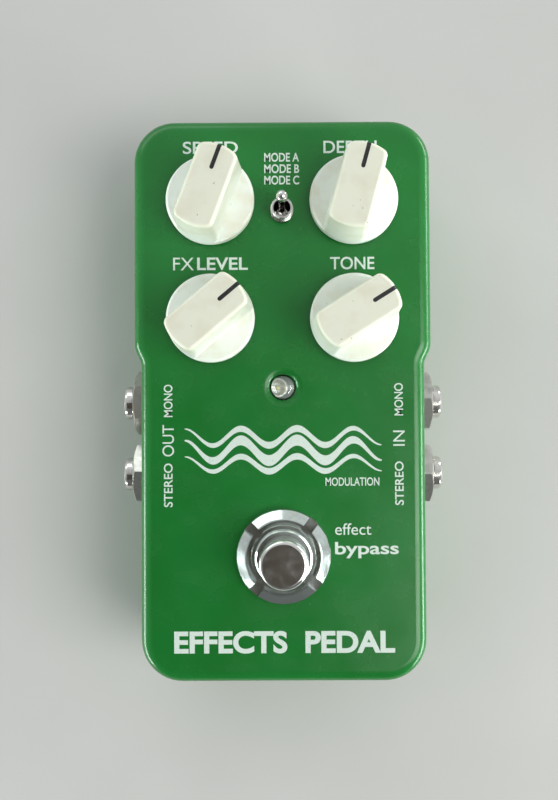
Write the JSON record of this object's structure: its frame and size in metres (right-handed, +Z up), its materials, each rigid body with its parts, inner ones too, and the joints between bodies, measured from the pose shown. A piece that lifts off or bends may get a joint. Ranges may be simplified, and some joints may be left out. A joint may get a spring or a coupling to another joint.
{
  "type": "guitar effects pedal",
  "caption": "Guitar effects pedal: die-cast box with pointer knobs, a mode switch, an indicator, a foot switch and side jacks.",
  "frame": {"origin": "on the surface that the pedal stands on, under the middle of the box", "axes": "+X to the right of the player, +Y away from the player along the box, +Z up"},
  "size_m": [0.0726, 0.122, 0.05],
  "materials": {
    "green_paint": "gloss",
    "plate_black": "satin",
    "screw_steel": "satin",
    "nylon": "satin",
    "foot_rubber": "matte",
    "nickel_brass": "polished",
    "zinc_steel": "satin",
    "switch_case": "satin",
    "chrome_steel": "polished",
    "chrome_nut": "polished",
    "clear_epoxy": "gloss",
    "tinned_wire": "satin",
    "spring_steel": "polished",
    "wire_jacket": "satin",
    "jack_nickel": "polished",
    "nut_nickel": "satin",
    "jack_plastic": "satin",
    "board_mask": "gloss",
    "chip_black": "matte",
    "dip_red": "gloss",
    "battery_can": "satin",
    "snap_black": "satin",
    "foam": "matte",
    "knob_cream": "gloss",
    "pointer_black": "satin",
    "shaft_metal": "satin",
    "pot_case": "satin"
  },
  "bodies": {
    "case": {"enclosure": "green_paint", "pot_bushings": "nickel_brass", "pot_nuts": "nickel_brass", "pot_washers": "zinc_steel", "toggle_body": "switch_case", "toggle_bushing": "nickel_brass", "led_lens": "clear_epoxy", "led_leads": "tinned_wire", "led_spacer": "nylon", "footswitch_bushing": "nickel_brass", "footswitch_crown_nut": "chrome_nut", "footswitch_lock_nut": "nickel_brass", "footswitch_lock_washer": "zinc_steel", "footswitch_housing": "switch_case", "footswitch_spring": "spring_steel", "footswitch_lugs": "tinned_wire", "footswitch_leads": "wire_jacket", "jack_ferrules": "jack_nickel", "jack_nuts": "nut_nickel", "jack_washers": "zinc_steel", "jack_contacts": "tinned_wire", "dc_socket": "jack_plastic", "dc_socket_pin": "nickel_brass", "usb_socket": "zinc_steel", "main_board": "board_mask", "board_screws": "screw_steel", "board_parts": "chip_black", "dip_switch": "dip_red", "battery": "battery_can", "battery_snap": "snap_black", "battery_foam": "foam", "speed_pot": "pot_case", "depth_pot": "pot_case", "level_pot": "pot_case", "tone_pot": "pot_case", "out_mono_jack": "jack_plastic", "out_stereo_jack": "jack_plastic", "in_mono_jack": "jack_plastic", "in_stereo_jack": "jack_plastic"},
    "base": {"base_plate": "plate_black", "rubber_feet": "foot_rubber", "base_screw_washer": "nylon"},
    "base_screw": {"base_screw": "screw_steel"},
    "mode_lever": {"toggle_lever": "chrome_steel"},
    "foot_button": {"footswitch_plunger": "chrome_steel"},
    "dip_left": {"dip_slider_left": "nylon"},
    "dip_right": {"dip_slider_right": "nylon"},
    "speed_control": {"speed_knob": "knob_cream", "speed_pointer": "pointer_black", "speed_shaft": "shaft_metal"},
    "depth_control": {"depth_knob": "knob_cream", "depth_pointer": "pointer_black", "depth_shaft": "shaft_metal"},
    "level_control": {"level_knob": "knob_cream", "level_pointer": "pointer_black", "level_shaft": "shaft_metal"},
    "tone_control": {"tone_knob": "knob_cream", "tone_pointer": "pointer_black", "tone_shaft": "shaft_metal"}
  },
  "joints": [
    {"name": "speed_turn", "type": "hinge", "parent": "case", "child": "speed_control", "pos_m": [-0.0154, 0.0428, 0.0345], "axis": [0, 0, 1], "range_deg": [-129.5, 170.5]},
    {"name": "depth_turn", "type": "hinge", "parent": "case", "child": "depth_control", "pos_m": [0.0154, 0.0428, 0.0345], "axis": [0, 0, 1], "range_deg": [-134.5, 165.5]},
    {"name": "level_turn", "type": "hinge", "parent": "case", "child": "level_control", "pos_m": [-0.0154, 0.0173, 0.0345], "axis": [0, 0, 1], "range_deg": [-100, 200]},
    {"name": "tone_turn", "type": "hinge", "parent": "case", "child": "tone_control", "pos_m": [0.0154, 0.0173, 0.0345], "axis": [0, 0, 1], "range_deg": [-92, 208]},
    {"name": "mode_switch", "type": "hinge", "parent": "case", "child": "mode_lever", "pos_m": [0, 0.0407, 0.0337], "axis": [1, 0, 0], "range_deg": [0, 24]},
    {"name": "foot_press", "type": "slide", "parent": "case", "child": "foot_button", "axis": [0, 0, -1], "range_m": [0, 0.0025], "stiffness_N_per_m": 2500, "springref_m": -0.002, "deforming": ["footswitch_spring"]},
    {"name": "base_off", "type": "slide", "parent": "case", "child": "base", "axis": [0, 0, -1], "range_m": [0, 0.03]},
    {"name": "base_screw_turn", "type": "hinge", "parent": "base", "child": "base_screw", "pos_m": [0, -0.0086, 0.002], "axis": [0, 0, 1], "continuous": true},
    {"name": "dip_left_slide", "type": "slide", "parent": "case", "child": "dip_left", "axis": [0, 1, 0], "range_m": [0, 0.001]},
    {"name": "dip_right_slide", "type": "slide", "parent": "case", "child": "dip_right", "axis": [0, 1, 0], "range_m": [0, 0.001]}
  ]
}
